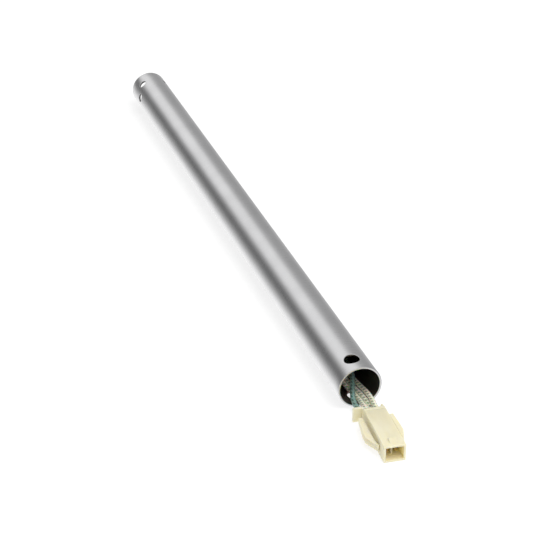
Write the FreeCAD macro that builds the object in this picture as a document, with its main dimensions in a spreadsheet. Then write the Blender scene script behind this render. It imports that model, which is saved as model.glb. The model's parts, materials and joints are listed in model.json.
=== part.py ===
import FreeCAD, Part
import math
import os
import re

import Sketcher

# A ceiling-fan downrod with its wiring harness inside it. Millimetres, +Z up, +X along the tube towards
# the end that the harness comes out of. The tube lies on Z = 0 with its middle at X = 0, Y = 0.

V = FreeCAD.Vector
X_AXIS = V(1, 0, 0)
Z_AXIS = V(0, 0, 1)

DIMENSIONS = {
    # tube and its cross holes; an inset is measured from the nearer end, a turn from the top
    "tube_length": 457.2,
    "tube_diameter": 26.67,
    "tube_wall": 1.3,
    "end_chamfer": 0.25,
    "hanger_hole_diameter": 9.2,
    "hanger_hole_inset": 10.6,
    "hanger_hole_turn": -6,
    "ring_hole_diameter": 5.8,
    "ring_hole_inset": 13.4,
    "ring_hole_turn": -40,
    "pin_hole_diameter": 6,
    "pin_hole_inset": 22,
    "pin_hole_turn": -79,
    # wires
    "jacket_diameter": 3,
    "conductor_diameter": 1.2,
    "jacket_bore": 1.3,
    "stripped_length": 5,
    # the grid of four circuits, the same in both housings
    "column_pitch": 4.9,
    "row_pitch": 3.6,
    "lower_row": 3.5,
    "circuit_bore": 3.2,
    # plug housing: its frame has X = 0 at the mating face and its underside on Z = 0
    "plug_reach": 56.3,
    "plug_shift": -1.55,
    "plug_turn": -4.5,
    "plug_length": 38.8,
    "plug_width": 12.7,
    "plug_height": 10.6,
    "plug_wall": 1.2,
    "corner_round": 0.5,
    "well_depth": 12,
    "web_back": 34,
    "skirt_length": 3.6,
    "keying_tab_reach": 11.5,
    "keying_tab_thickness": 1.6,
    "keying_tab_foot": 0.8,
    "keying_tab_height": 8.8,
    "column_rib_length": 6,
    "row_rib_length": 3,
    "rib_thickness": 0.8,
    "lock_ramp_front": 2.3,
    "lock_ramp_back": 6.8,
    "lock_ramp_width": 4.2,
    "lock_ramp_rise": 1.1,
    "top_groove_inset": 36,
    "top_groove_width": 0.6,
    "top_groove_depth": 0.4,
    # snap wings of the plug; the left one stands out further, and nearer the front
    "wing_foot": 3.35,
    "wing_height": 3.9,
    "wing_tip_back": 35,
    "wing_tip_inner": 7.95,
    "wing_tip_outer": 10.1,
    "left_peak_back": 20.5,
    "left_peak_front": 15.6,
    "left_peak_reach": 12,
    "right_peak_back": 21,
    "right_peak_front": 18.5,
    "right_peak_reach": 10.9,
    "wing_neck_back": 11.5,
    "wing_hinge_inset": 7.6,
    "wing_hinge_reach": 7.25,
    "wing_hinge_radius": 0.75,
    # receptacle housing: its frame has X = 0 at the front of its nose
    "receptacle_inset": 30,
    "receptacle_lift": 3.12,
    "receptacle_length": 33,
    "receptacle_width": 12.4,
    "receptacle_height": 10.2,
    "nose_length": 11,
    "nose_width": 9.9,
    "nose_foot": 1.4,
    "nose_height": 7.8,
    "nose_slot_width": 1.1,
    "column_slot_depth": 7,
    "row_slot_depth": 3,
    "front_lip": 1.5,
    "entry_diameter": 2.3,
    "ear_inner": 3.1,
    "ear_outer": 4.3,
    "ear_length": 3.6,
    "ear_top": 13.9,
    "ear_hole_diameter": 2.0,
    # latch lever of the receptacle
    "latch_pivot_inset": 20.5,
    "latch_pivot_height": 12.4,
    "latch_trunnion_diameter": 1.8,
    "latch_trunnion_reach": 4.1,
    "latch_width": 5.2,
    "latch_underside": 12,
    "latch_top": 13.2,
    "latch_back": 31,
    "latch_hook_back": 4,
    "latch_hook_front": 2.6,
    "latch_hook_foot": 10.75,
    # terminals
    "crimp_diameter": 2.9,
    "collar_diameter": 3.2,
    "collar_length": 2,
    "crimp_length": 6.3,
    "pin_crimp_back": 29.3,
    "pin_body_diameter": 2.6,
    "pin_diameter": 2.1,
    "pin_shoulder": 12.3,
    "pin_tip": 5.5,
    "pin_tip_taper": 0.8,
    "pin_tip_diameter": 0.9,
    "socket_crimp_back": 27.5,
    "socket_front": 2,
    "socket_bore": 2.16,
    "socket_bore_back": 11,
}

# Each wire's centre line between the bore of the receptacle and that of the plug. They lie side by side
# along the bottom of the tube; the green one rides over the others just inside the mouth.
WIRE_ROUTES = {
    "white_left": [
        (-156, -2.5, 6.3), (-143, -2.6, 4.9), (-124, -2.3, 3.4), (-92, -2.2, 3.3), (-50, -2.8, 3.4),
        (-4, -2.3, 3.3), (45, -2.8, 3.4), (92, -2.3, 3.3), (132, -2.8, 3.4), (160, -2.5, 3.3),
        (180, -2.5, 3.4), (196, -2.2, 3.3), (208, -1.6, 3.2), (217, -0.6, 3.1), (226, 0.7, 3.2),
        (234, -0.1, 4.7), (241.5, -1.3, 6.6),
    ],
    "white_middle": [
        (-156, -2, 10), (-143, 0, 8.3), (-124, 0.8, 4.2), (-92, 0.9, 3.1), (-50, 0.3, 3.1),
        (-4, 0.8, 3.1), (45, 0.3, 3.1), (92, 0.8, 3.1), (132, 0.3, 3.1), (160, 0.7, 3.1),
        (180, 0.6, 3.1), (196, 0.9, 3.1), (208, 1.6, 3.2), (217, 2.6, 3.4), (226, 3.8, 3.9),
        (234, 4, 3.7), (241.5, 4, 3.4),
    ],
    "white_right": [
        (-156, 2.6, 6.4), (-143, 3.2, 5.2), (-124, 3.9, 4), (-92, 4, 3.9), (-50, 3.4, 3.7),
        (-4, 3.9, 3.9), (45, 3.4, 3.7), (92, 3.9, 3.9), (132, 3.5, 3.7), (160, 3.8, 3.9),
        (180, 3.7, 3.8), (196, 4.1, 3.9), (208, 4.9, 4.3), (217, 5.8, 4.9), (226, 6.3, 5.9),
        (234, 5.6, 6.5), (241.5, 4.6, 7),
    ],
    "green": [
        (-156, 2.9, 10), (-143, 4.7, 8.7), (-124, 6.4, 6.2), (-92, 6.6, 5.6), (-50, 6.2, 5.3),
        (-4, 6.6, 5.6), (45, 6.2, 5.3), (92, 6.6, 5.6), (132, 6.3, 5.3), (158, 6.6, 5.6),
        (176, 6.5, 5.7), (188, 6.4, 6.3), (197, 5.9, 7.3), (205, 4.4, 7.8), (212, 2.1, 7.4),
        (219, -0.6, 6.6), (226, -3.5, 5), (234, -4.2, 3.7), (241.5, -1.9, 3.25),
    ],
}
# The column (-1 left, 1 right, seen from the mouth) and row (0 lower, 1 upper) of each wire's circuit.
PLUG_CIRCUITS = {"white_left": (-1, 1), "white_middle": (1, 0), "white_right": (1, 1), "green": (-1, 0)}
RECEPTACLE_CIRCUITS = {"white_left": (1, 0), "white_middle": (1, 1), "white_right": (-1, 0), "green": (-1, 1)}
# A wire is straight where it is in a housing: it ends at the first distance behind the mating face, and
# makes its first bend at the second.
PLUG_ENTRY = (29.5, 35.2)
RECEPTACLE_ENTRY = (28, 34.2)

document = FreeCAD.newDocument("downrod")
sheet = document.addObject("Spreadsheet::Sheet", "dims")
for row, (alias, size) in enumerate(DIMENSIONS.items(), start=1):
    sheet.set(f"A{row}", alias.replace("_", " "))
    sheet.set(f"B{row}", str(size))
    sheet.setAlias(f"B{row}", alias)
document.recompute()


def bound(formula):
    """A formula in the sheet's words, as an expression that other objects can hold."""
    return re.sub(r"[a-z_]{2,}", lambda word: "dims." + word.group(), formula)


def size_of(formula):
    return float(sheet.evalExpression(bound(formula)))


def new_body(label, placement):
    body = document.addObject("PartDesign::Body", label)
    body.Label = label
    body.Placement = placement
    return body


def sketch_on(body, role, offset="0", tilt=0):
    """A sketch on one of the body's own planes, moved along its normal, or turned about its first axis."""
    sketch = body.newObject("Sketcher::SketchObject", "sketch")
    plane = next(item for item in body.Origin.OriginFeatures if item.Role == role)
    sketch.AttachmentSupport = [(plane, "")]
    sketch.MapMode = "FlatFace"
    sketch.AttachmentOffset = FreeCAD.Placement(V(0, 0, 0), FreeCAD.Rotation(X_AXIS, tilt))
    if offset != "0":
        sketch.setExpression("AttachmentOffset.Base.z", bound(offset))
    return sketch


def hold(sketch, kind, geometry, point, formula):
    """Keep one coordinate of a point of the sketch at a formula of the sheet."""
    number = sketch.addConstraint(Sketcher.Constraint(kind, -1, 1, geometry, point, size_of(formula)))
    sketch.setExpression(f"Constraints[{number}]", bound(formula))


def outline(sketch, corners):
    """A closed outline of straight lines; each corner is a pair of formulas."""
    places = [V(size_of(across), size_of(up), 0) for across, up in corners]
    first = sketch.GeometryCount
    for start, end in zip(places, places[1:] + places[:1]):
        sketch.addGeometry(Part.LineSegment(start, end))
    for index, (across, up) in enumerate(corners):
        after = first + (index + 1) % len(corners)
        sketch.addConstraint(Sketcher.Constraint("Coincident", first + index, 2, after, 1))
        hold(sketch, "DistanceX", first + index, 1, across)
        hold(sketch, "DistanceY", first + index, 1, up)


def rectangle(sketch, left, right, low, high):
    outline(sketch, [(left, low), (right, low), (right, high), (left, high)])


def circle(sketch, across, up, diameter):
    centre = V(size_of(across), size_of(up), 0)
    number = sketch.addGeometry(Part.Circle(centre, Z_AXIS, size_of(diameter) / 2))
    hold(sketch, "DistanceX", number, 3, across)
    hold(sketch, "DistanceY", number, 3, up)
    held = sketch.addConstraint(Sketcher.Constraint("Diameter", number, size_of(diameter)))
    sketch.setExpression(f"Constraints[{held}]", bound(diameter))


def pad(body, sketch, length, side="One side"):
    feature = body.newObject("PartDesign::Pad", "pad")
    feature.Profile = sketch
    feature.SideType = side
    feature.setExpression("Length", bound(length))
    document.recompute()
    return feature


def pocket(body, sketch, length=None, side="One side", backwards=False):
    """Cut a sketch's outline out of the body, all the way through when no length is given."""
    before = body.Shape.Volume
    feature = body.newObject("PartDesign::Pocket", "pocket")
    feature.Profile = sketch
    feature.SideType = side
    feature.Reversed = backwards
    if length is None:
        feature.Type = "ThroughAll"
    else:
        feature.setExpression("Length", bound(length))
    document.recompute()
    if body.Shape.Volume >= before:
        raise RuntimeError(f"{body.Label}: a pocket cut nothing")
    return feature


def dress(body, kind, wanted, formula):
    """A fillet or chamfer on the edges of the body's last feature that the test picks out."""
    base = body.Tip
    names = [f"Edge{number}" for number, edge in enumerate(base.Shape.Edges, start=1) if wanted(edge)]
    feature = body.newObject(f"PartDesign::{kind}", kind.lower())
    feature.Base = (base, names)
    feature.setExpression("Radius" if kind == "Fillet" else "Size", bound(formula))
    document.recompute()


def runs_along_x(edge):
    return abs(edge.Vertexes[0].X - edge.Vertexes[-1].X) > 0.9 * edge.Length


# ---------------------------------------------------------------- tube

def make_tube():
    body = new_body("downrod_tube", FreeCAD.Placement(V(0, 0, 0), FreeCAD.Rotation()))
    body.setExpression("Placement.Base.z", bound("tube_diameter / 2"))
    ring = sketch_on(body, "YZ_Plane")
    circle(ring, "0", "0", "tube_diameter")
    circle(ring, "0", "0", "tube_diameter - 2 * tube_wall")
    pad(body, ring, "tube_length", "Symmetric")
    dress(body, "Chamfer", lambda edge: isinstance(edge.Curve, Part.Circle), "end_chamfer")
    # each hole goes through both walls, square to the tube
    cross_hole(body, "tube_length / 2 - hanger_hole_inset", "hanger_hole_diameter", "hanger_hole_turn")
    for turn in ("ring_hole_turn", "ring_hole_turn + 90"):
        cross_hole(body, "ring_hole_inset - tube_length / 2", "ring_hole_diameter", turn)
    cross_hole(body, "pin_hole_inset - tube_length / 2", "pin_hole_diameter", "pin_hole_turn")
    return body


def cross_hole(body, place, diameter, turn):
    """A hole across the tube at a place along it; its axis leans from the top towards +Y by turn."""
    sketch = sketch_on(body, "XY_Plane", tilt=-size_of(turn))
    circle(sketch, place, "0", diameter)
    pocket(body, sketch, side="Symmetric")


# ---------------------------------------------------------------- housings

def circuit_circles(sketch, diameter):
    for column in ("-column_pitch / 2", "column_pitch / 2"):
        for row in ("lower_row", "lower_row + row_pitch"):
            circle(sketch, column, row, diameter)


def make_plug_housing(placement):
    body = new_body("plug_housing", placement)
    inside = "(plug_width / 2 - plug_wall)"
    ceiling = "plug_height - plug_wall"
    whole = "(plug_length + skirt_length)"

    block = sketch_on(body, "XY_Plane")
    rectangle(block, "-plug_length", "0", "-plug_width / 2", "plug_width / 2")
    pad(body, block, "plug_height")
    dress(body, "Fillet", runs_along_x, "corner_round")

    skirt = sketch_on(body, "XY_Plane")
    rectangle(skirt, f"-{whole}", "-plug_length + plug_wall", "-plug_width / 2", "plug_width / 2")
    pad(body, skirt, ceiling)

    tab = sketch_on(body, "XY_Plane", "keying_tab_foot")
    tab_front = f"-{whole} + keying_tab_thickness"
    rectangle(tab, f"-{whole}", tab_front, "-keying_tab_reach", f"-{inside} - plug_wall / 2")
    pad(body, tab, "keying_tab_height")

    well = sketch_on(body, "YZ_Plane")
    rectangle(well, f"-{inside}", inside, "plug_wall", ceiling)
    pocket(body, well, "well_depth")

    rear = sketch_on(body, "YZ_Plane", f"-{whole}")
    rectangle(rear, f"-{inside}", inside, "plug_wall", ceiling)
    pocket(body, rear, f"{whole} - web_back", backwards=True)

    bores = sketch_on(body, "YZ_Plane")
    circuit_circles(bores, "circuit_bore")
    pocket(body, bores, "web_back + 1")

    half = "rib_thickness / 2"
    middle = "lower_row + row_pitch / 2"
    column_rib = sketch_on(body, "YZ_Plane", "-well_depth - 0.5")
    rectangle(column_rib, f"-{half}", half, "plug_wall - 0.2", f"{ceiling} + 0.2")
    pad(body, column_rib, "column_rib_length + 0.5")
    row_rib = sketch_on(body, "YZ_Plane", "-well_depth - 0.5")
    rectangle(row_rib, f"-{inside} - 0.2", f"{inside} + 0.2", f"{middle} - {half}", f"{middle} + {half}")
    pad(body, row_rib, "row_rib_length + 0.5")

    ramp = sketch_on(body, "XZ_Plane")
    crest = "plug_height + lock_ramp_rise"
    outline(ramp, [
        ("-lock_ramp_back", "plug_height - 0.3"), ("-lock_ramp_front", "plug_height - 0.3"),
        ("-lock_ramp_front", "plug_height + 0.1"), ("0.8 - lock_ramp_back", crest), ("-lock_ramp_back", crest),
    ])
    pad(body, ramp, "lock_ramp_width", "Symmetric")

    groove = sketch_on(body, "XY_Plane", "plug_height")
    groove_back = "-top_groove_inset - top_groove_width"
    rectangle(groove, groove_back, "-top_groove_inset", "-plug_width", "plug_width")
    pocket(body, groove, "top_groove_depth")
    return body


def make_wing(hand, placement):
    """A snap wing: an arm beside the plug, hinged at its front, that springs out behind a panel."""
    side = -1 if hand == "left" else 1
    body = new_body(f"snap_wing_{hand}", placement)
    arm = sketch_on(body, "XY_Plane", "wing_foot")
    hinge_back = "-wing_hinge_inset - 0.5"
    hinge_front = "-wing_hinge_inset + 0.2"
    corners = [
        ("-wing_tip_back", "wing_tip_inner"), ("-wing_neck_back", "wing_tip_inner"),
        (hinge_back, "wing_hinge_reach - 0.4"), (hinge_front, "wing_hinge_reach + 0.65"),
        (f"-{hand}_peak_front", f"{hand}_peak_reach"), (f"-{hand}_peak_back", f"{hand}_peak_reach"),
        ("-wing_tip_back", "wing_tip_outer"),
    ]
    outline(arm, [(along, f"{side} * ({out})") for along, out in corners])
    pad(body, arm, "wing_height")
    knuckle = sketch_on(body, "XY_Plane", "wing_foot")
    circle(knuckle, "-wing_hinge_inset", f"{side} * wing_hinge_reach", "2 * wing_hinge_radius")
    pad(body, knuckle, "wing_height")
    return body


def make_receptacle_housing(placement):
    body = new_body("receptacle_housing", placement)
    block = sketch_on(body, "XY_Plane")
    half = "receptacle_width / 2"
    rectangle(block, "-receptacle_length", "-nose_length", f"-{half}", half)
    pad(body, block, "receptacle_height")
    dress(body, "Fillet", runs_along_x, "corner_round")

    nose = sketch_on(body, "XY_Plane", "nose_foot")
    rectangle(nose, "-nose_length - 1", "0", "-nose_width / 2", "nose_width / 2")
    pad(body, nose, "nose_height")

    ear_back = "-latch_pivot_inset - ear_length / 2"
    ear_front = "-latch_pivot_inset + ear_length / 2"
    for side in (-1, 1):
        ear = sketch_on(body, "XY_Plane", "receptacle_height - 0.3")
        rectangle(ear, ear_back, ear_front, f"{side} * ear_inner", f"{side} * ear_outer")
        pad(body, ear, "ear_top - receptacle_height + 0.3")
    hole = sketch_on(body, "XZ_Plane")
    circle(hole, "-latch_pivot_inset", "latch_pivot_height", "ear_hole_diameter")
    pocket(body, hole, side="Symmetric")

    bores = sketch_on(body, "YZ_Plane", "-receptacle_length")
    circuit_circles(bores, "circuit_bore")
    pocket(body, bores, "receptacle_length - front_lip", backwards=True)
    entries = sketch_on(body, "YZ_Plane")
    circuit_circles(entries, "entry_diameter")
    pocket(body, entries, "front_lip + 0.5")

    middle = "lower_row + row_pitch / 2"
    gap = "nose_slot_width / 2"
    column_slot = sketch_on(body, "YZ_Plane")
    rectangle(column_slot, f"-{gap}", gap, "nose_foot - 1", "nose_foot + nose_height + 1")
    pocket(body, column_slot, "column_slot_depth")
    row_slot = sketch_on(body, "YZ_Plane")
    rectangle(row_slot, "-nose_width", "nose_width", f"{middle} - {gap}", f"{middle} + {gap}")
    pocket(body, row_slot, "row_slot_depth")
    return body


def make_latch_lever(placement):
    """A rocking lever over the receptacle: pressing its rear lifts its front hook off the lock ramp."""
    body = new_body("latch_lever", placement)
    profile = sketch_on(body, "XZ_Plane")
    outline(profile, [
        ("-latch_back", "latch_underside"), ("-latch_hook_back", "latch_underside"),
        ("-latch_hook_back", "latch_hook_foot"), ("-latch_hook_front - 0.5", "latch_hook_foot"),
        ("-latch_hook_front", "latch_underside"), ("-latch_hook_front", "latch_top"),
        ("-latch_back", "latch_top"),
    ])
    pad(body, profile, "latch_width", "Symmetric")
    trunnion = sketch_on(body, "XZ_Plane")
    circle(trunnion, "-latch_pivot_inset", "latch_pivot_height", "latch_trunnion_diameter")
    pad(body, trunnion, "2 * latch_trunnion_reach", "Symmetric")
    return body


# ---------------------------------------------------------------- terminals

def make_terminal(name, profile, placement):
    """A turned contact: a profile of (along, diameter) formulas spun about the circuit's axis."""
    body = new_body(name, placement)
    sketch = sketch_on(body, "XZ_Plane")
    outline(sketch, [(along, f"({diameter}) / 2") for along, diameter in profile])
    spin = body.newObject("PartDesign::Revolution", "spin")
    spin.Profile = sketch
    spin.ReferenceAxis = (sketch, ["H_Axis"])
    spin.Angle = 360
    document.recompute()
    return body


def crimp_profile(back):
    """The rear of either terminal, up to the front of its collar, and the bottom of its wire bore."""
    collar_back = f"crimp_length - {back}"
    collar_front = f"crimp_length + collar_length - {back}"
    outside = [
        (f"-{back}", "jacket_bore"), (f"-{back}", "crimp_diameter"), (collar_back, "crimp_diameter"),
        (collar_back, "collar_diameter"), (collar_front, "collar_diameter"),
    ]
    inside = [(f"stripped_length + 0.8 - {back}", "0"), (f"stripped_length + 0.8 - {back}", "jacket_bore")]
    return outside, inside, collar_front


def pin_profile():
    outside, inside, front = crimp_profile("pin_crimp_back")
    stem = [
        (front, "pin_body_diameter"), ("-pin_shoulder", "pin_body_diameter"), ("-pin_shoulder", "pin_diameter"),
        ("-pin_tip - pin_tip_taper", "pin_diameter"), ("-pin_tip", "pin_tip_diameter"), ("-pin_tip", "0"),
    ]
    return outside + stem + inside


def socket_profile():
    outside, inside, front = crimp_profile("socket_crimp_back")
    barrel = [
        (front, "crimp_diameter"), ("-socket_front", "crimp_diameter"), ("-socket_front", "socket_bore"),
        ("-socket_bore_back", "socket_bore"), ("-socket_bore_back", "0"),
    ]
    return outside + barrel + inside


def circuit_place(column, row):
    """Where a circuit's axis crosses a housing's mating face, in the housing's own frame."""
    return V(0, column * size_of("column_pitch / 2"), size_of("lower_row") + row * size_of("row_pitch"))


# ---------------------------------------------------------------- wires

def route_path(corners, extension):
    """Straight runs joined by tangent arcs, and the radii; both ends run on by extension."""
    bends = []
    radii = []
    for before, corner, after in zip(corners, corners[1:], corners[2:]):
        arriving = corner - before
        leaving = after - corner
        cut = 0.45 * min(arriving.Length, leaving.Length)
        half_turn = arriving.getAngle(leaving) / 2
        start = corner - V(arriving).normalize() * cut
        end = corner + V(leaving).normalize() * cut
        inward = (start + end) * 0.5 - corner
        radius = cut / math.tan(half_turn)
        reach = radius / math.cos(half_turn) - radius
        bends.append((start, corner + inward.normalize() * reach, end))
        radii.append(radius)
    first = corners[0] - (corners[1] - corners[0]).normalize() * extension
    last = corners[-1] + (corners[-1] - corners[-2]).normalize() * extension
    edges = []
    here = first
    for start, middle, end in bends:
        edges.append(Part.LineSegment(here, start).toShape())
        edges.append(Part.Arc(start, middle, end).toShape())
        here = end
    edges.append(Part.LineSegment(here, last).toShape())
    return Part.Wire(edges), radii


def swept(path, diameter):
    """The solid that a round section makes along a path."""
    start = path.OrderedVertexes[0].Point
    heading = path.OrderedEdges[0].tangentAt(path.OrderedEdges[0].FirstParameter)
    rim = Part.Wire([Part.makeCircle(diameter / 2, start, heading)])
    solid = path.makePipeShell([rim], True, False)
    wanted = math.pi * diameter ** 2 / 4 * path.Length
    if abs(solid.Volume / wanted - 1) > 0.01:
        raise RuntimeError(f"a swept solid has {solid.Volume:.1f} mm3 in place of {wanted:.1f}")
    return solid


def feature_of(label, shape):
    feature = document.addObject("Part::Feature", label)
    feature.Label = label
    feature.Shape = shape
    return feature


def make_wire(name, plug_frame, receptacle_frame):
    """One wire of the harness: its braided jacket and the stranded conductor inside it."""
    def in_housing(frame, circuit, behind):
        return frame.multVec(circuit_place(*circuit) - V(behind, 0, 0))

    head = [in_housing(receptacle_frame, RECEPTACLE_CIRCUITS[name], behind) for behind in RECEPTACLE_ENTRY]
    tail = [in_housing(plug_frame, PLUG_CIRCUITS[name], behind) for behind in reversed(PLUG_ENTRY)]
    corners = head + [V(*point) for point in WIRE_ROUTES[name]] + tail
    path, radii = route_path(corners, 0)
    long_path, _ = route_path(corners, size_of("stripped_length"))
    bore = swept(path, size_of("jacket_bore"))
    jacket = feature_of(f"wire_jacket_{name}", swept(path, size_of("jacket_diameter")).cut(bore))
    conductor = feature_of(f"conductor_{name}", swept(long_path, size_of("conductor_diameter")))
    print(f"{name}: length {path.Length:.1f}, radii", " ".join(f"{radius:.0f}" for radius in radii))
    return [jacket, conductor]


# ---------------------------------------------------------------- assembly

def make_parts():
    plug_place = V(size_of("tube_length / 2 + plug_reach"), size_of("plug_shift"), 0)
    plug_frame = FreeCAD.Placement(plug_place, FreeCAD.Rotation(Z_AXIS, size_of("plug_turn")))
    receptacle_place = V(size_of("receptacle_inset - tube_length / 2"), 0, size_of("receptacle_lift"))
    receptacle_frame = FreeCAD.Placement(receptacle_place, FreeCAD.Rotation(Z_AXIS, 180))

    parts = [
        make_tube(),
        make_plug_housing(plug_frame),
        make_wing("left", plug_frame),
        make_wing("right", plug_frame),
        make_receptacle_housing(receptacle_frame),
        make_latch_lever(receptacle_frame),
    ]
    for name in WIRE_ROUTES:
        parts += make_wire(name, plug_frame, receptacle_frame)
        for kind, frame, circuits, profile in (
            ("pin", plug_frame, PLUG_CIRCUITS, pin_profile()),
            ("socket", receptacle_frame, RECEPTACLE_CIRCUITS, socket_profile()),
        ):
            axis = FreeCAD.Placement(circuit_place(*circuits[name]), FreeCAD.Rotation())
            parts.append(make_terminal(f"{kind}_terminal_{name}", profile, frame.multiply(axis)))
    return parts


parts = make_parts()
document.recompute()

for item in document.Objects:
    if "Invalid" in item.State or "Error" in item.State:
        raise RuntimeError(f"{item.Label} failed: {item.State}")

os.makedirs("parts", exist_ok=True)
for part in parts:
    if part.Shape.isNull() or not part.Shape.isValid() or len(part.Shape.Solids) != 1:
        raise RuntimeError(f"{part.Label} isn't one valid solid")
    part.Shape.exportStep(f"parts/{part.Label}.step")
    print(f"{part.Label}: {part.Shape.Volume:.1f} mm3")
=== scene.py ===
import json
import math

import bmesh
import bpy
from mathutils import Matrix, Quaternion, Vector
from mathutils.bvhtree import BVHTree

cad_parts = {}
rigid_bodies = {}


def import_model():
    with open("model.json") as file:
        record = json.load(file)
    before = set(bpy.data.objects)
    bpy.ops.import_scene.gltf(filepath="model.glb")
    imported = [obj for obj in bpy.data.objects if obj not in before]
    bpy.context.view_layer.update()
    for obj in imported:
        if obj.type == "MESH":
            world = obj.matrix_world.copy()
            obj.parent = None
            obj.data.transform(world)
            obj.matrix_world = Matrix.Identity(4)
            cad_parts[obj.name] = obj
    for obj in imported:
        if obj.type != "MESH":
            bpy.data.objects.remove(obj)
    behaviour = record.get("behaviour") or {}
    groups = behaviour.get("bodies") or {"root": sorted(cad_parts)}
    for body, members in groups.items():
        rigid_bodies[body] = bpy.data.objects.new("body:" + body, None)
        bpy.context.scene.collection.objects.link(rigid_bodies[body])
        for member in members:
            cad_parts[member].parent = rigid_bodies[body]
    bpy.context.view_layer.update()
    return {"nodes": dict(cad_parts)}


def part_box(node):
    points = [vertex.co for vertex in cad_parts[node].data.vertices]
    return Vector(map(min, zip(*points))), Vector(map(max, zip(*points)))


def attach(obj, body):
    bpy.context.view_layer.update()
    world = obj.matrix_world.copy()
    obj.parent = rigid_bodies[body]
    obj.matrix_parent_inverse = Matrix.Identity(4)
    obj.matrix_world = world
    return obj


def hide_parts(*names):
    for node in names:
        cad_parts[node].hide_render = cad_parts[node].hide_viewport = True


# A ceiling-fan downrod lying on a pale floor: a drilled satin-nickel tube, and the harness of braided wires
# that runs through it to a nylon snap-in plug. Metres, in the frame of the CAD model: X runs along the tube
# towards the plug, Z is up, and the tube rests on Z = 0.

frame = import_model()
MM = 0.001


# ---------------------------------------------------------------- small helpers

def linear(colour):
    """An sRGB hex colour, such as "#c0ffee", as linear RGBA."""
    shades = [int(colour[i:i + 2], 16) / 255 for i in (1, 3, 5)]
    return [s / 12.92 if s <= 0.04045 else ((s + 0.055) / 1.055) ** 2.4 for s in shades] + [1.0]


def connect(tree, node, inputs):
    """Set a node's sockets: inputs are (socket, value or the output to link) pairs."""
    for socket, value in inputs:
        if isinstance(value, bpy.types.NodeSocket):
            tree.links.new(value, node.inputs[socket])
        else:
            node.inputs[socket].default_value = value


def add_node(tree, kind, inputs=(), **settings):
    """Add a node with its settings, and connect its inputs."""
    made = tree.nodes.new(kind)
    for name, value in settings.items():
        setattr(made, name, value)
    connect(tree, made, inputs)
    return made


def new_object(name, mesh, body, slot, *materials):
    """A visible piece at the origin, riding on a body, with its materials; the slot argument is not used."""
    piece = bpy.data.objects.new(name, mesh)
    bpy.context.collection.objects.link(piece)
    for material in materials:
        mesh.materials.append(material)
    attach(piece, body)
    return piece


def new_material(name):
    """A material with its Principled shader, and the output of its object coordinates."""
    material = bpy.data.materials.new(name)
    material.use_nodes = True
    tree = material.node_tree
    shader = tree.nodes["Principled BSDF"]
    place = add_node(tree, "ShaderNodeTexCoord").outputs["Object"]
    return material, tree, shader, place


def grain(tree, place, size_mm, detail=3.0, stretch=(1, 1, 1)):
    """A pattern of grains about size_mm wide, drawn out along the axes where stretch is above 1."""
    scale = [1 / (size_mm * MM * s) for s in stretch]
    mapped = add_node(tree, "ShaderNodeMapping", [("Vector", place), ("Scale", scale)])
    inputs = [("Vector", mapped.outputs["Vector"]), ("Scale", 1.0), ("Detail", detail)]
    return add_node(tree, "ShaderNodeTexNoise", inputs).outputs["Fac"]


def over_grain(pattern, low, high):
    """The inputs that turn a grain pattern's usual values, 0.3 to 0.7, into low to high."""
    return [("Value", pattern), ("From Min", 0.3), ("From Max", 0.7), ("To Min", low), ("To Max", high)]


def two_tones(tree, pattern, first, second):
    """A colour that drifts between two hex colours with a grain pattern."""
    share = add_node(tree, "ShaderNodeMapRange", over_grain(pattern, 0, 1)).outputs["Result"]
    inputs = [(0, share), (6, linear(first)), (7, linear(second))]
    return add_node(tree, "ShaderNodeMix", inputs, data_type="RGBA").outputs[2]


# ---------------------------------------------------------------- materials

def satin_nickel():
    """Nickel plate over steel that was polished around its girth: satin, with faint clouds.

    The polish marks are far under 0.1 mm wide, and are drawn 0.25 mm wide so that they show.
    """
    material, tree, shader, place = new_material("satin_nickel_plate")
    rings = grain(tree, place, 0.25, 4.0, stretch=(1, 30, 30))
    clouds = grain(tree, place, 18, 2.0)
    colour = two_tones(tree, clouds, "#d4d4d5", "#dbdbdc")
    polish = add_node(tree, "ShaderNodeMapRange", over_grain(rings, 0.27, 0.33)).outputs["Result"]
    inputs = [("Height", rings), ("Distance", 0.004 * MM), ("Strength", 1.0)]
    relief = add_node(tree, "ShaderNodeBump", inputs).outputs["Normal"]
    inputs = [("Base Color", colour), ("Roughness", polish), ("Normal", relief), ("Metallic", 1.0)]
    connect(tree, shader, inputs)
    return material


def bore_steel():
    """The inside of the drawn tube, where the plating is thin: duller, with draw lines, and darkened with
    painted shade.
    """
    material, tree, shader, place = new_material("drawn_steel_and_painted_shade")
    lines = grain(tree, place, 0.6, 4.0, stretch=(40, 1, 1))
    stains = grain(tree, place, 9, 3.0, stretch=(2, 1, 1))
    colour = two_tones(tree, stains, "#5f5952", "#736c64")
    scuffs = add_node(tree, "ShaderNodeMapRange", over_grain(lines, 0.36, 0.48)).outputs["Result"]
    inputs = [("Height", lines), ("Distance", 0.01 * MM), ("Strength", 1.0)]
    relief = add_node(tree, "ShaderNodeBump", inputs).outputs["Normal"]
    inputs = [("Base Color", colour), ("Roughness", scuffs), ("Normal", relief), ("Metallic", 1.0)]
    connect(tree, shader, inputs)
    return material


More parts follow.
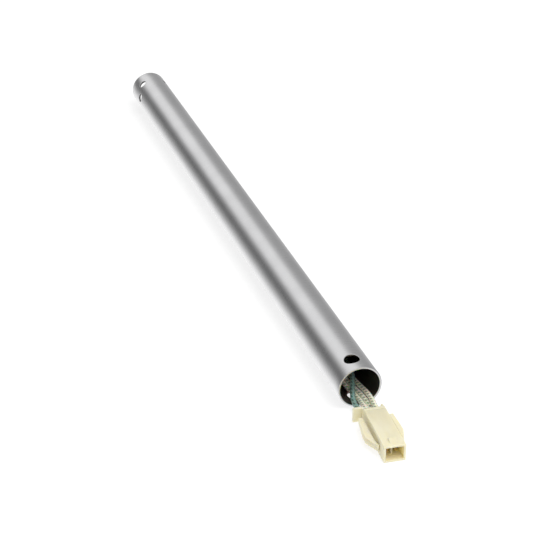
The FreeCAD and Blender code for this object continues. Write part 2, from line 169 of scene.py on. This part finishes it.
def natural_nylon():
    """Unpigmented injection-moulded nylon: ivory that light soaks into, with a fine satin skin.

    Where other walls shut a face in, as the mesh attribute "inside" says, the nylon is painted a warmer
    amber, standing in for bounce light.
    """
    material, tree, shader, place = new_material("natural_moulded_nylon")
    skin = grain(tree, place, 0.12, 2.0)
    flow = grain(tree, place, 7, 2.0, stretch=(2, 1, 1))
    ivory = two_tones(tree, flow, "#e9e3c7", "#e3dbbc")
    # Painted bounce light: faces shut in by other walls are tinted towards a warmer amber.
    inside = add_node(tree, "ShaderNodeAttribute", attribute_name="inside").outputs["Fac"]
    inputs = [(0, inside), (6, ivory), (7, linear("#f8e4b4"))]
    colour = add_node(tree, "ShaderNodeMix", inputs, data_type="RGBA").outputs[2]
    satin = add_node(tree, "ShaderNodeMapRange", over_grain(skin, 0.4, 0.5)).outputs["Result"]
    inputs = [("Height", skin), ("Distance", 0.006 * MM), ("Strength", 1.0)]
    relief = add_node(tree, "ShaderNodeBump", inputs).outputs["Normal"]
    connect(tree, shader, [
        ("Base Color", colour),
        ("Roughness", satin),
        ("Normal", relief),
        ("IOR", 1.53),
        ("Subsurface Weight", 0.6),
        ("Subsurface Scale", 2.5 * MM),
        ("Subsurface Radius", (1.0, 0.92, 0.55)),
    ])
    return material


def glass_braid(name, first, second, tracer, valley_shade):
    """Lacquered glass-fibre braid over rubber: matt crossing strands, one in four a darker tracer.

    The mesh attributes say which thread a spot belongs to, if it is a tracer, and how high it lies, which
    sets the painted shade between the strands.
    """
    material, tree, shader, place = new_material(name)
    thread = add_node(tree, "ShaderNodeAttribute", attribute_name="thread").outputs["Fac"]
    marked = add_node(tree, "ShaderNodeAttribute", attribute_name="tracer").outputs["Fac"]
    height = add_node(tree, "ShaderNodeAttribute", attribute_name="height").outputs["Fac"]
    tint = add_node(tree, "ShaderNodeTexWhiteNoise", [("W", thread)], noise_dimensions="1D").outputs["Value"]
    inputs = [(0, tint), (6, linear(first)), (7, linear(second))]
    plain = add_node(tree, "ShaderNodeMix", inputs, data_type="RGBA").outputs[2]
    inputs = [(0, marked), (6, plain), (7, linear(tracer))]
    dotted = add_node(tree, "ShaderNodeMix", inputs, data_type="RGBA").outputs[2]
    # Painted shade between the strands: the colour darkens towards the valley shade colour from 0.7 of their
    # height down.
    inputs = [("Value", height), ("From Min", 0.7), ("From Max", 0.0), ("To Min", 0.0), ("To Max", 0.6)]
    painted_shade_share = add_node(tree, "ShaderNodeMapRange", inputs).outputs["Result"]
    inputs = [(0, painted_shade_share), (6, dotted), (7, linear(valley_shade))]
    shaded = add_node(tree, "ShaderNodeMix", inputs, data_type="RGBA").outputs[2]
    fibres = grain(tree, place, 0.12, 3.0, stretch=(3, 1, 1))
    inputs = [("Height", fibres), ("Distance", 0.03 * MM), ("Strength", 1.0)]
    relief = add_node(tree, "ShaderNodeBump", inputs).outputs["Normal"]
    connect(tree, shader, [
        ("Base Color", shaded),
        ("Normal", relief),
        ("Roughness", 0.62),
        ("Sheen Weight", 0.15),
        ("Sheen Roughness", 0.5),
        ("Subsurface Weight", 0.4),
        ("Subsurface Scale", 0.8 * MM),
    ])
    return material


def rolled_metal(name, size_mm, length, first, second, low, high):
    """Bare metal with the faint marks of its rolling or drawing, length times as long as they are wide."""
    material, tree, shader, place = new_material(name)
    marks = grain(tree, place, size_mm, 3.0, stretch=(length, 1, 1))
    colour = two_tones(tree, marks, first, second)
    rough = add_node(tree, "ShaderNodeMapRange", over_grain(marks, low, high)).outputs["Result"]
    connect(tree, shader, [("Base Color", colour), ("Roughness", rough), ("Metallic", 1.0)])
    return material


def studio_paper():
    """The pale matt sweep that the rod lies on, lit a little from behind so that its shadows stay faint."""
    material, tree, shader, place = new_material("studio_paper")
    fibre = grain(tree, place, 3, 3.0)
    connect(tree, shader, [
        ("Base Color", two_tones(tree, fibre, "#a4a4a4", "#a8a8a8")),
        ("Roughness", 1.0),
        ("Specular IOR Level", 0.0),
        ("Emission Color", linear("#ffffff")),
        ("Emission Strength", 0.7),
    ])
    return material


NICKEL = satin_nickel()
BORE_AND_SHADE = bore_steel()
NYLON = natural_nylon()
# The last colour of each braid is painted shade, laid into the valleys between its strands.
BRAIDS = {
    "braid_white": glass_braid("natural_glass_braid", "#fffbe8", "#faf5dc", "#8b9a82", "#8f886b"),
    "braid_green": glass_braid("green_glass_braid", "#9dbdb2", "#7b9f94", "#4a695f", "#405850"),
}
# Terminals are stamped and rolled from brass strip: bright yellow metal.
BRASS = rolled_metal("rolled_brass_strip", 0.3, 12, "#c7b083", "#b79e6e", 0.24, 0.36)
# Bare copper strands: warm metal, slightly dulled.
COPPER = rolled_metal("drawn_copper_strand", 0.4, 10, "#c8805a", "#b36d49", 0.28, 0.4)
PAPER = studio_paper()


# ---------------------------------------------------------------- camera

# Fitted to the outline of the tube.
CAMERA_AIM = Vector((0.0785, -0.0049, 0.0133))
CAMERA_AZIMUTH = math.radians(71.27)
CAMERA_ELEVATION = math.radians(29.06)
CAMERA_DISTANCE = 1.0916
CAMERA_LENS = 114.3


def direction(azimuth, elevation):
    """The unit vector from the object towards a place seen at that azimuth and elevation."""
    level = math.cos(elevation)
    return Vector((math.sin(azimuth) * level, -math.cos(azimuth) * level, math.sin(elevation)))


def make_camera():
    """The camera of the main picture, aimed at the middle of the rod."""
    camera = bpy.data.objects.new("camera", bpy.data.cameras.new("camera"))
    camera.data.lens = CAMERA_LENS
    back = direction(CAMERA_AZIMUTH, CAMERA_ELEVATION)
    camera.location = CAMERA_AIM + back * CAMERA_DISTANCE
    camera.rotation_euler = (-back).to_track_quat("-Z", "Y").to_euler()
    bpy.context.collection.objects.link(camera)
    bpy.context.scene.camera = camera


# ---------------------------------------------------------------- wires

WIRE_DIAMETER = 3 * MM
# Each wire's control points, from its end in the receptacle to its end in the plug.
WIRE_ROUTES = {
    "white_left": [
        (-0.1706, -0.00245, 0.00662), (-0.1644, -0.00245, 0.00662), (-0.156, -0.0025, 0.0063),
        (-0.143, -0.0026, 0.0049), (-0.124, -0.0023, 0.0034), (-0.092, -0.0022, 0.0033),
        (-0.05, -0.0028, 0.0034), (-0.004, -0.0023, 0.0033), (0.045, -0.0028, 0.0034),
        (0.092, -0.0023, 0.0033), (0.132, -0.0028, 0.0034), (0.16, -0.0025, 0.0033),
        (0.18, -0.0025, 0.0034), (0.196, -0.0022, 0.0033), (0.208, -0.0016, 0.0032),
        (0.217, -0.0006, 0.0031), (0.226, 0.0007, 0.0032), (0.234, -0.0001, 0.0047),
        (0.2415, -0.0013, 0.0066), (0.24962, -0.00123, 0.0071), (0.2553, -0.00168, 0.0071),
    ],
    "white_middle": [
        (-0.1706, -0.00245, 0.01022), (-0.1644, -0.00245, 0.01022), (-0.156, -0.002, 0.01),
        (-0.143, 0, 0.0083), (-0.124, 0.0008, 0.0042), (-0.092, 0.0009, 0.0031), (-0.05, 0.0003, 0.0031),
        (-0.004, 0.0008, 0.0031), (0.045, 0.0003, 0.0031), (0.092, 0.0008, 0.0031), (0.132, 0.0003, 0.0031),
        (0.16, 0.0007, 0.0031), (0.18, 0.0006, 0.0031), (0.196, 0.0009, 0.0031), (0.208, 0.0016, 0.0032),
        (0.217, 0.0026, 0.0034), (0.226, 0.0038, 0.0039), (0.234, 0.004, 0.0037), (0.2415, 0.004, 0.0034),
        (0.25, 0.00365, 0.0035), (0.25568, 0.00321, 0.0035),
    ],
    "white_right": [
        (-0.1706, 0.00245, 0.00662), (-0.1644, 0.00245, 0.00662), (-0.156, 0.0026, 0.0064),
        (-0.143, 0.0032, 0.0052), (-0.124, 0.0039, 0.004), (-0.092, 0.004, 0.0039), (-0.05, 0.0034, 0.0037),
        (-0.004, 0.0039, 0.0039), (0.045, 0.0034, 0.0037), (0.092, 0.0039, 0.0039), (0.132, 0.0035, 0.0037),
        (0.16, 0.0038, 0.0039), (0.18, 0.0037, 0.0038), (0.196, 0.0041, 0.0039), (0.208, 0.0049, 0.0043),
        (0.217, 0.0058, 0.0049), (0.226, 0.0063, 0.0059), (0.234, 0.0056, 0.0065), (0.2415, 0.0046, 0.007),
        (0.25, 0.00365, 0.0071), (0.25568, 0.00321, 0.0071),
    ],
    "green": [
        (-0.1706, 0.00245, 0.01022), (-0.1644, 0.00245, 0.01022), (-0.156, 0.0029, 0.01),
        (-0.143, 0.0047, 0.0087), (-0.124, 0.0064, 0.0062), (-0.092, 0.0066, 0.0056),
        (-0.05, 0.0062, 0.0053), (-0.004, 0.0066, 0.0056), (0.045, 0.0062, 0.0053), (0.092, 0.0066, 0.0056),
        (0.132, 0.0063, 0.0053), (0.158, 0.0066, 0.0056), (0.176, 0.0065, 0.0057), (0.188, 0.0064, 0.0063),
        (0.197, 0.0059, 0.0073), (0.205, 0.0044, 0.0078), (0.212, 0.0021, 0.0074), (0.219, -0.0006, 0.0066),
        (0.226, -0.0035, 0.005), (0.234, -0.0042, 0.0037), (0.2415, -0.0019, 0.00325),
        (0.24962, -0.00123, 0.0035), (0.2553, -0.00168, 0.0035),
    ],
}
SPLINE_STEPS = 12
BRAID_RELIEF = 0.16 * MM
BRAID_STRANDS = 8  # in each of the two directions
BRAID_SIDES = 40
BRAID_STRAND_STEP = 1.5 * MM  # how far along the wire one strand follows the next
BRAID_RING_STEP = 0.3 * MM


def route_points(name):
    """The points that a smooth spline through the route's control points is drawn with."""
    curve = bpy.data.curves.new(name, "CURVE")
    curve.dimensions = "3D"
    curve.resolution_u = SPLINE_STEPS
    spline = curve.splines.new("NURBS")
    spline.points.add(len(WIRE_ROUTES[name]) - 1)
    for point, place in zip(spline.points, WIRE_ROUTES[name]):
        point.co = (*place, 1)
    spline.order_u = 3
    spline.use_endpoint_u = True
    route = bpy.data.objects.new(name, curve)
    line = bpy.data.meshes.new_from_object(route)
    points = [vertex.co.copy() for vertex in line.vertices]
    for data in (line, curve):
        bpy.data.batch_remove([data])
    return points


def braid_tree():
    """Geometry nodes that turn a line into a braided sleeve: two sets of strands that cross by turns."""
    tree = bpy.data.node_groups.new("braided_sleeve", "GeometryNodeTree")
    interface = tree.interface
    interface.new_socket("Geometry", in_out="INPUT", socket_type="NodeSocketGeometry")
    for name in ("Radius", "Relief", "Strand step", "Ring step"):
        interface.new_socket(name, in_out="INPUT", socket_type="NodeSocketFloat")
    for name in ("Strands", "Sides"):
        interface.new_socket(name, in_out="INPUT", socket_type="NodeSocketInt")
    interface.new_socket("Material", in_out="INPUT", socket_type="NodeSocketMaterial")
    interface.new_socket("Geometry", in_out="OUTPUT", socket_type="NodeSocketGeometry")
    given = tree.nodes.new("NodeGroupInput").outputs

    line = add_node(tree, "GeometryNodeMeshToCurve", [("Mesh", given["Geometry"])]).outputs["Curve"]
    inputs = [("Curve", line), ("Length", given["Ring step"])]
    even = add_node(tree, "GeometryNodeResampleCurve", inputs, mode="LENGTH").outputs["Curve"]
    length = add_node(tree, "GeometryNodeSplineParameter").outputs["Length"]
    along = add_node(tree, "GeometryNodeCaptureAttribute", [("Geometry", even)], domain="POINT")
    along.capture_items.new("FLOAT", "value")
    connect(tree, along, [(1, length)])
    inputs = [("Resolution", given["Sides"]), ("Radius", given["Radius"])]
    ring = add_node(tree, "GeometryNodeCurvePrimitiveCircle", inputs).outputs["Curve"]
    index = add_node(tree, "GeometryNodeInputIndex").outputs[0]
    inputs = [(0, index), (1, given["Sides"])]
    share = add_node(tree, "ShaderNodeMath", inputs, operation="DIVIDE").outputs[0]
    around = add_node(tree, "GeometryNodeCaptureAttribute", [("Geometry", ring)], domain="POINT")
    around.capture_items.new("FLOAT", "value")
    connect(tree, around, [(1, share)])
    inputs = [("Curve", along.outputs["Geometry"]), ("Profile Curve", around.outputs["Geometry"])]
    inputs.append(("Fill Caps", True))
    sleeve = add_node(tree, "GeometryNodeCurveToMesh", inputs).outputs["Mesh"]

    # Two sets of strands wind opposite ways, and each goes over two and under two of the other.
    # A row is a value's name, the sum that makes it, and what goes into the sum.
    sums = [
        ("turn", "MULTIPLY", "around", "Strands"),
        ("rise", "DIVIDE", "along", "Strand step"),
        ("right", "ADD", "turn", "rise"),
        ("left", "SUBTRACT", "turn", "rise"),
        ("right strand", "FLOOR", "right", 0.0),
        ("left strand", "FLOOR", "left", 0.0),
        ("both strands", "ADD", "right strand", "left strand"),
        ("crossing", "FLOORED_MODULO", "both strands", 4.0),
        ("right over", "LESS_THAN", "crossing", 2.0),
        ("left over", "SUBTRACT", 1.0, "right over"),
        # how high the upper strand's rounded back stands, from 0 to 1
        ("right share", "FRACT", "right", 0.0),
        ("right angle", "MULTIPLY", "right share", math.pi),
        ("right back", "SINE", "right angle", 0.0),
        ("right height", "MULTIPLY", "right over", "right back"),
        ("left share", "FRACT", "left", 0.0),
        ("left angle", "MULTIPLY", "left share", math.pi),
        ("left back", "SINE", "left angle", 0.0),
        ("left height", "MULTIPLY", "left over", "left back"),
        ("height", "ADD", "right height", "left height"),
        ("sink", "SUBTRACT", "height", 1.0),
        ("lift", "MULTIPLY", "sink", "Relief"),
        # the number of the thread on top, and whether it is a tracer
        ("right place", "FLOORED_MODULO", "right strand", "Strands"),
        ("right number", "MULTIPLY", "right over", "right place"),
        ("left place", "FLOORED_MODULO", "left strand", "Strands"),
        ("left thread", "ADD", "left place", "Strands"),
        ("left number", "MULTIPLY", "left over", "left thread"),
        ("thread", "ADD", "right number", "left number"),
        ("pair place", "FLOORED_MODULO", "right strand", 2.0),
        ("every second", "LESS_THAN", "pair place", 0.5),
        ("tracer", "MULTIPLY", "right over", "every second"),
    ]
    known = {name: given[name] for name in ("Strands", "Strand step", "Relief")}
    known["along"] = along.outputs[1]
    known["around"] = around.outputs[1]
    for name, operation, first, second in sums:
        inputs = [(0, known.get(first, first)), (1, known.get(second, second))]
        known[name] = add_node(tree, "ShaderNodeMath", inputs, operation=operation).outputs[0]

    normal = add_node(tree, "GeometryNodeInputNormal").outputs["Normal"]
    inputs = [(0, normal), ("Scale", known["lift"])]
    offset = add_node(tree, "ShaderNodeVectorMath", inputs, operation="SCALE").outputs[0]
    woven = add_node(tree, "GeometryNodeSetPosition", [("Geometry", sleeve), ("Offset", offset)]).outputs[0]
    for name in ("thread", "tracer", "height"):
        inputs = [("Geometry", woven), ("Name", name), ("Value", known[name])]
        woven = add_node(tree, "GeometryNodeStoreNamedAttribute", inputs, data_type="FLOAT").outputs[0]
    woven = add_node(tree, "GeometryNodeRealizeInstances", [("Geometry", woven)]).outputs[0]
    inputs = [("Geometry", woven), ("Material", given["Material"])]
    finished = add_node(tree, "GeometryNodeSetMaterial", inputs).outputs[0]
    add_node(tree, "NodeGroupOutput", [(0, finished)])
    return tree


def grown(mesh, tree, values):
    """The plain mesh that a geometry-nodes tree makes from a mesh; values are its named inputs."""
    carrier = bpy.data.objects.new("carrier", mesh)
    bpy.context.collection.objects.link(carrier)
    modifier = carrier.modifiers.new("nodes", "NODES")
    modifier.node_group = tree
    sockets = {item.name: item.identifier for item in tree.interface.items_tree if item.in_out == "INPUT"}
    for name, value in values.items():
        modifier[sockets[name]] = value
    evaluated = carrier.evaluated_get(bpy.context.evaluated_depsgraph_get())
    result = bpy.data.meshes.new_from_object(evaluated)
    bpy.data.objects.remove(carrier)
    return result


def make_wire(name, tree):
    """One wire: its braided jacket along the route, in place of the plain jacket."""
    points = route_points(name)
    line = bpy.data.meshes.new("line")
    line.from_pydata(points, [(i, i + 1) for i in range(len(points) - 1)], [])
    slot = "braid_green" if name == "green" else "braid_white"
    values = {
        "Radius": WIRE_DIAMETER / 2,
        "Relief": BRAID_RELIEF,
        "Strand step": BRAID_STRAND_STEP,
        "Ring step": BRAID_RING_STEP,
        "Strands": BRAID_STRANDS,
        "Sides": BRAID_SIDES,
        "Material": BRAIDS[slot],
    }
    mesh = grown(line, tree, values)
    mesh.shade_smooth()
    jacket = new_object(f"braided_jacket_{name}", mesh, "root", slot)
    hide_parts(f"wire_jacket_{name}")


# ---------------------------------------------------------------- tube

TUBE_WALL = 1.3 * MM
SOFT_EDGE = 0.3 * MM  # the radius of every worn rim
EDGE_BENDS = [math.radians(22.5 * i) for i in range(1, 5)]
TUBE_SIDES = 360  # one a degree, so that a mouth's turn and spread are whole numbers of sides
PATCH_CELLS = 16
# How far from the patch's square edge to the round mouth each loop of vertices lies.
PATCH_LOOPS = (0.35, 0.65, 0.85, 1.0)


def bridge(mesh, first, second):
    """Faces between two closed loops with as many vertices."""
    count = len(first)
    for k in range(count):
        after = (k + 1) % count
        mesh.faces.new((first[k], first[after], second[after], second[k]))


def tube_holes(half):
    """Each kind of drilled hole: its place along X, its radius, and the patch of grid around its mouth.

    The patch is given as its half length and its half angle in degrees.
    """
    ring = (13.4 * MM - half, 2.9 * MM, 3.9 * MM, 19)
    pin = (22 * MM - half, 3.0 * MM, 4.2 * MM, 20)
    hanger = (half - 10.6 * MM, 4.6 * MM, 6.2 * MM, 28)
    return ring, pin, hanger


def tube_profile(stations, half, outer, inner):
    """The tube's closed outline as (x, radius) pairs, and the index where the bore starts in it.

    It goes along the outside, over the near rim, back through the bore and over the far rim.
    """
    rim = half - SOFT_EDGE
    near = [(rim + SOFT_EDGE * math.sin(a), outer - SOFT_EDGE + SOFT_EDGE * math.cos(a)) for a in EDGE_BENDS]
    near.append((half, inner + SOFT_EDGE))
    near += [(rim + SOFT_EDGE * math.cos(a), inner + SOFT_EDGE - SOFT_EDGE * math.sin(a))
             for a in EDGE_BENDS[:-1]]
    outside = [(x, outer) for x in stations]
    bore = [(x, inner) for x in reversed(stations)]
    far = [(-x, radius) for x, radius in reversed(near)]
    return outside + near + bore + far, len(outside + near)


def make_tube():
    """The drilled tube: a closed grid of rings, with a round mouth let into it at both ends of each hole."""
    low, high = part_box("downrod_tube")
    outer = (high.z - low.z) / 2
    inner = outer - TUBE_WALL
    half = (high.x - low.x) / 2
    ring, pin, hanger = tube_holes(half)
    # Each mouth's turn is in degrees from the top towards +Y.
    mouths = [(ring, turn) for turn in (-40, 50, 140, 230)]
    mouths += [(pin, turn) for turn in (-79, 101)]
    mouths += [(hanger, turn) for turn in (-6, 174)]

    stations = [SOFT_EDGE - half]
    for place, _, reach, _ in (ring, pin, hanger):
        stations += [place - reach + 2 * reach * i / PATCH_CELLS for i in range(PATCH_CELLS + 1)]
    stations.append(half - SOFT_EDGE)
    count = len(stations)
    profile, bore_start = tube_profile(stations, half, outer, inner)
    outer_row = list(range(count))
    inner_row = [bore_start + count - 1 - i for i in range(count)]

    mesh = bmesh.new()

    def vertex(x, lateral, height, turn):
        """A vertex given square to a direction that leans from the top by turn."""
        s, c = math.sin(turn), math.cos(turn)
        return mesh.verts.new((x, lateral * c + height * s, outer + height * c - lateral * s))

    grid = [[vertex(x, 0, radius, math.radians(j * 360 / TUBE_SIDES)) for j in range(TUBE_SIDES)]
            for x, radius in profile]
    removed = set()
    for (place, radius, reach, spread_angle), turn in mouths:
        first = min(range(count), key=lambda i: abs(stations[i] - (place - reach)))
        last = first + PATCH_CELLS
        corner = turn - spread_angle
        steps = 2 * spread_angle
        path = [(first, corner + k) for k in range(steps)]
        path += [(i, corner + steps) for i in range(first, last)]
        path += [(last, corner + steps - k) for k in range(steps)]
        path += [(i, corner) for i in range(last, first, -1)]
        centre_turn = math.radians(turn)
        edge = radius + SOFT_EDGE
        ends = []
        for rows, wall, inward in ((outer_row, outer, -1), (inner_row, inner, 1)):
            for i in range(first, last):
                for k in range(steps):
                    removed.add((min(rows[i], rows[i + 1]), (corner + k) % TUBE_SIDES))
            loop = [grid[rows[i]][k % TUBE_SIDES] for i, k in path]
            flat = [(stations[i] - place, wall * math.sin(math.radians(k - turn))) for i, k in path]
            angles = [math.atan2(b, a) for a, b in flat]
            for share in PATCH_LOOPS:
                inner_loop = []
                for (a, b), angle in zip(flat, angles):
                    x = a + (edge * math.cos(angle) - a) * share
                    y = b + (edge * math.sin(angle) - b) * share
                    inner_loop.append(vertex(place + x, y, math.sqrt(wall ** 2 - y ** 2), centre_turn))
                bridge(mesh, loop, inner_loop)
                loop = inner_loop
            for bend in EDGE_BENDS:
                width = edge - SOFT_EDGE * math.sin(bend)
                sink = SOFT_EDGE - SOFT_EDGE * math.cos(bend)
                inner_loop = []
                for angle in angles:
                    y = width * math.sin(angle)
                    height = math.sqrt(wall ** 2 - y ** 2) + inward * sink
                    inner_loop.append(vertex(place + width * math.cos(angle), y, height, centre_turn))
                bridge(mesh, loop, inner_loop)
                loop = inner_loop
            ends.append(loop)
        bridge(mesh, *ends)

    rows = len(profile)
    for i in range(rows):
        for j in range(TUBE_SIDES):
            if (i, j) not in removed:
                after, beside = (i + 1) % rows, (j + 1) % TUBE_SIDES
                mesh.faces.new((grid[i][j], grid[after][j], grid[after][beside], grid[i][beside]))
    loose = [v for v in mesh.verts if not v.link_faces]
    bmesh.ops.delete(mesh, geom=loose, context="VERTS")
    bmesh.ops.recalc_face_normals(mesh, faces=mesh.faces)
    for face in mesh.faces:
        face.smooth = True
        middle = face.calc_center_median()
        depth = outer - math.hypot(middle.y, middle.z - outer)
        # Faces deeper than the worn rims, in the bore and the hole walls, take the steel darkened with
        # painted shade.
        face.material_index = int(depth > SOFT_EDGE and abs(middle.x) < half - SOFT_EDGE)
    data = bpy.data.meshes.new("nickel_tube")
    mesh.to_mesh(data)
    mesh.free()
    tube = new_object("nickel_tube", data, "root", "tube_steel", NICKEL, BORE_AND_SHADE)
    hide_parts("downrod_tube")


# ---------------------------------------------------------------- moulded pieces

HOUSING_EDGE = 0.2 * MM
WING_EDGE = 0.25 * MM
# The rays that tell whether a face is shut in: their leans from its normal, how many at each, where they
# start, how far they look, and how far away a wall has to be to count, so that a narrow groove doesn't.
INSIDE_LEANS = [0.15, 0.5, 0.9]
INSIDE_TURNS = 8
RAY_START = 0.02 * MM
RAY_REACH = 30 * MM
RAY_GAP = 1.5 * MM
# The share of blocked rays at which a face starts to count as inside, and from which it is wholly inside.
OPEN_SHARE = 0.4
SHUT_SHARE = 0.9


def mark_painted_bounce(data):
    """Store how shut in each face is, for the nylon's painted bounce light: 0 in the open, 1 where other
    walls of the piece surround it.
    """
    amount = data.attributes.new("inside", "FLOAT", "FACE")
    walls = BVHTree.FromPolygons([v.co for v in data.vertices], [p.vertices[:] for p in data.polygons])
    for face in data.polygons:
        start = face.center + face.normal * RAY_START
        across = face.normal.orthogonal()
        shut = 0
        for lean in INSIDE_LEANS:
            for turn in range(INSIDE_TURNS):
                ray = face.normal * math.cos(lean) + across * math.sin(lean)
                ray.rotate(Quaternion(face.normal, math.tau * turn / INSIDE_TURNS))
                hit, _, _, reach = walls.ray_cast(start, ray, RAY_REACH)
                shut += hit is not None and reach > RAY_GAP
        share = shut / (len(INSIDE_LEANS) * INSIDE_TURNS)
        inside = (share - OPEN_SHARE) / (SHUT_SHARE - OPEN_SHARE)
        amount.data[face.index].value = min(1.0, max(0.0, inside))


def make_moulding(node, name, body, edge_radius):
    """A moulded nylon piece: the CAD shape with the small radii that a mould leaves on its edges."""
    mesh = bmesh.new()
    mesh.from_mesh(frame["nodes"][node].data)
    bmesh.ops.remove_doubles(mesh, verts=mesh.verts, dist=0.001 * MM)
    bmesh.ops.dissolve_limit(mesh, angle_limit=math.radians(1), verts=mesh.verts, edges=mesh.edges)
    data = bpy.data.meshes.new(name)
    mesh.to_mesh(data)
    mesh.free()
    mark_painted_bounce(data)
    data.materials.clear()
    piece = new_object(name, data, body, "nylon_natural", NYLON)
    data.shade_smooth()
    bevel = piece.modifiers.new("edge radius", "BEVEL")
    bevel.width = edge_radius
    bevel.segments = 3
    bevel.limit_method = "ANGLE"
    bevel.angle_limit = math.radians(40)
    bevel.harden_normals = True
    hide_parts(node)
    return piece


# ---------------------------------------------------------------- terminals and conductors

def cover(node, material):
    """Give a piece that keeps its CAD mesh its material."""
    materials = frame["nodes"][node].data.materials
    materials.clear()
    materials.append(material)


# ---------------------------------------------------------------- floor and light

FLOOR_REACH = 30.0
KEY_PLACE = (0.75, 0.4, 1.5)
KEY_AIM = (0.2, 0, 0)
KEY_SIDE = 1.3
KEY_WATTS = 16


def make_floor():
    """A level sheet that reaches past every view, and that the metal doesn't mirror."""
    mesh = bpy.data.meshes.new("floor")
    side = FLOOR_REACH
    corners = [(-side, -side, 0), (side, -side, 0), (side, side, 0), (-side, side, 0)]
    mesh.from_pydata(corners, [], [(0, 1, 2, 3)])
    mesh.materials.append(PAPER)
    floor = bpy.data.objects.new("floor", mesh)
    bpy.context.collection.objects.link(floor)
    floor.visible_glossy = False


def make_key_light():
    """A large soft light above and beyond the plug end; the metal mirrors the world's bands instead of it."""
    light = bpy.data.lights.new("key", "AREA")
    light.shape = "SQUARE"
    light.size = KEY_SIDE
    light.energy = KEY_WATTS
    lamp = bpy.data.objects.new("key", light)
    lamp.location = KEY_PLACE
    towards = Vector(KEY_AIM) - Vector(KEY_PLACE)
    lamp.rotation_euler = towards.to_track_quat("-Z", "Y").to_euler()
    lamp.visible_glossy = False
    bpy.context.collection.objects.link(lamp)


# What the metal mirrors: the room's brightness by the angle about the tube, in degrees from overhead
# towards +Y. A long soft box hangs overhead, and dark screens stand on both sides.
MIRRORED = [
    (-180, 1.25), (-150, 1.2), (-128, 0.8), (-108, 0.42), (-92, 0.2), (-72, 0.15), (-55, 0.36), (-40, 0.85),
    (-26, 1.0), (0, 1.02), (12, 0.95), (26, 0.56), (44, 0.42), (78, 0.4), (105, 0.5), (150, 1.0), (180, 1.25),
]
MIRROR_STRENGTH = 1.25
# How strongly the room lights matt surfaces, from opposite the light to towards it.
ROOM_LOW = 0.52
ROOM_HIGH = 0.72
LIGHT_SIDE = (0.5, 0.25, 0.83)


def make_world():
    """The studio: a white backdrop, soft light from all around, and long bands for the metal to mirror."""
    world = bpy.data.worlds.new("studio")
    bpy.context.scene.world = world
    world.use_nodes = True
    tree = world.node_tree
    place = add_node(tree, "ShaderNodeTexCoord").outputs["Generated"]
    parts = add_node(tree, "ShaderNodeSeparateXYZ", [(0, place)]).outputs
    inputs = [(0, parts["Y"]), (1, parts["Z"])]
    angle = add_node(tree, "ShaderNodeMath", inputs, operation="ARCTAN2").outputs[0]
    inputs = [("Value", angle), ("From Min", -math.pi), ("From Max", math.pi)]
    turn = add_node(tree, "ShaderNodeMapRange", inputs).outputs["Result"]
    ramp = add_node(tree, "ShaderNodeValToRGB", [(0, turn)])
    stops = ramp.color_ramp.elements
    for degrees, _ in MIRRORED[1:-1]:
        stops.new((degrees + 180) / 360)
    for stop, (_, brightness) in zip(stops, MIRRORED):
        stop.color = [brightness / MIRROR_STRENGTH] * 3 + [1]
    inputs = [("Color", ramp.outputs["Color"]), ("Strength", MIRROR_STRENGTH)]
    mirrored = add_node(tree, "ShaderNodeBackground", inputs).outputs[0]
    inputs = [(0, place), (1, LIGHT_SIDE)]
    facing = add_node(tree, "ShaderNodeVectorMath", inputs, operation="DOT_PRODUCT").outputs["Value"]
    inputs = [("Value", facing), ("From Min", -1), ("To Min", ROOM_LOW), ("To Max", ROOM_HIGH)]
    strength = add_node(tree, "ShaderNodeMapRange", inputs).outputs["Result"]
    rays = add_node(tree, "ShaderNodeLightPath").outputs
    inputs = [(0, strength), (1, rays["Is Camera Ray"])]
    strength = add_node(tree, "ShaderNodeMath", inputs, operation="MAXIMUM").outputs[0]
    inputs = [("Color", linear("#ffffff")), ("Strength", strength)]
    room = add_node(tree, "ShaderNodeBackground", inputs).outputs[0]
    inputs = [(0, rays["Is Glossy Ray"]), (1, room), (2, mirrored)]
    both = add_node(tree, "ShaderNodeMixShader", inputs).outputs[0]
    tree.links.new(both, tree.nodes["World Output"].inputs["Surface"])


# ---------------------------------------------------------------- making

make_camera()
plug = make_moulding("plug_housing", "panel_plug", "root", HOUSING_EDGE)
wing_left = make_moulding("snap_wing_left", "plug_wing_left", "wing_left", WING_EDGE)
wing_right = make_moulding("snap_wing_right", "plug_wing_right", "wing_right", WING_EDGE)
receptacle = make_moulding("receptacle_housing", "socket_housing", "root", HOUSING_EDGE)
latch = make_moulding("latch_lever", "socket_latch", "latch", HOUSING_EDGE)
sleeve_tree = braid_tree()
for name in WIRE_ROUTES:
    make_wire(name, sleeve_tree)
for name in WIRE_ROUTES:
    cover(f"pin_terminal_{name}", BRASS)
    cover(f"socket_terminal_{name}", BRASS)
    cover(f"conductor_{name}", COPPER)
make_tube()
make_floor()
make_world()
make_key_light()
bpy.context.scene.view_settings.view_transform = "Standard"
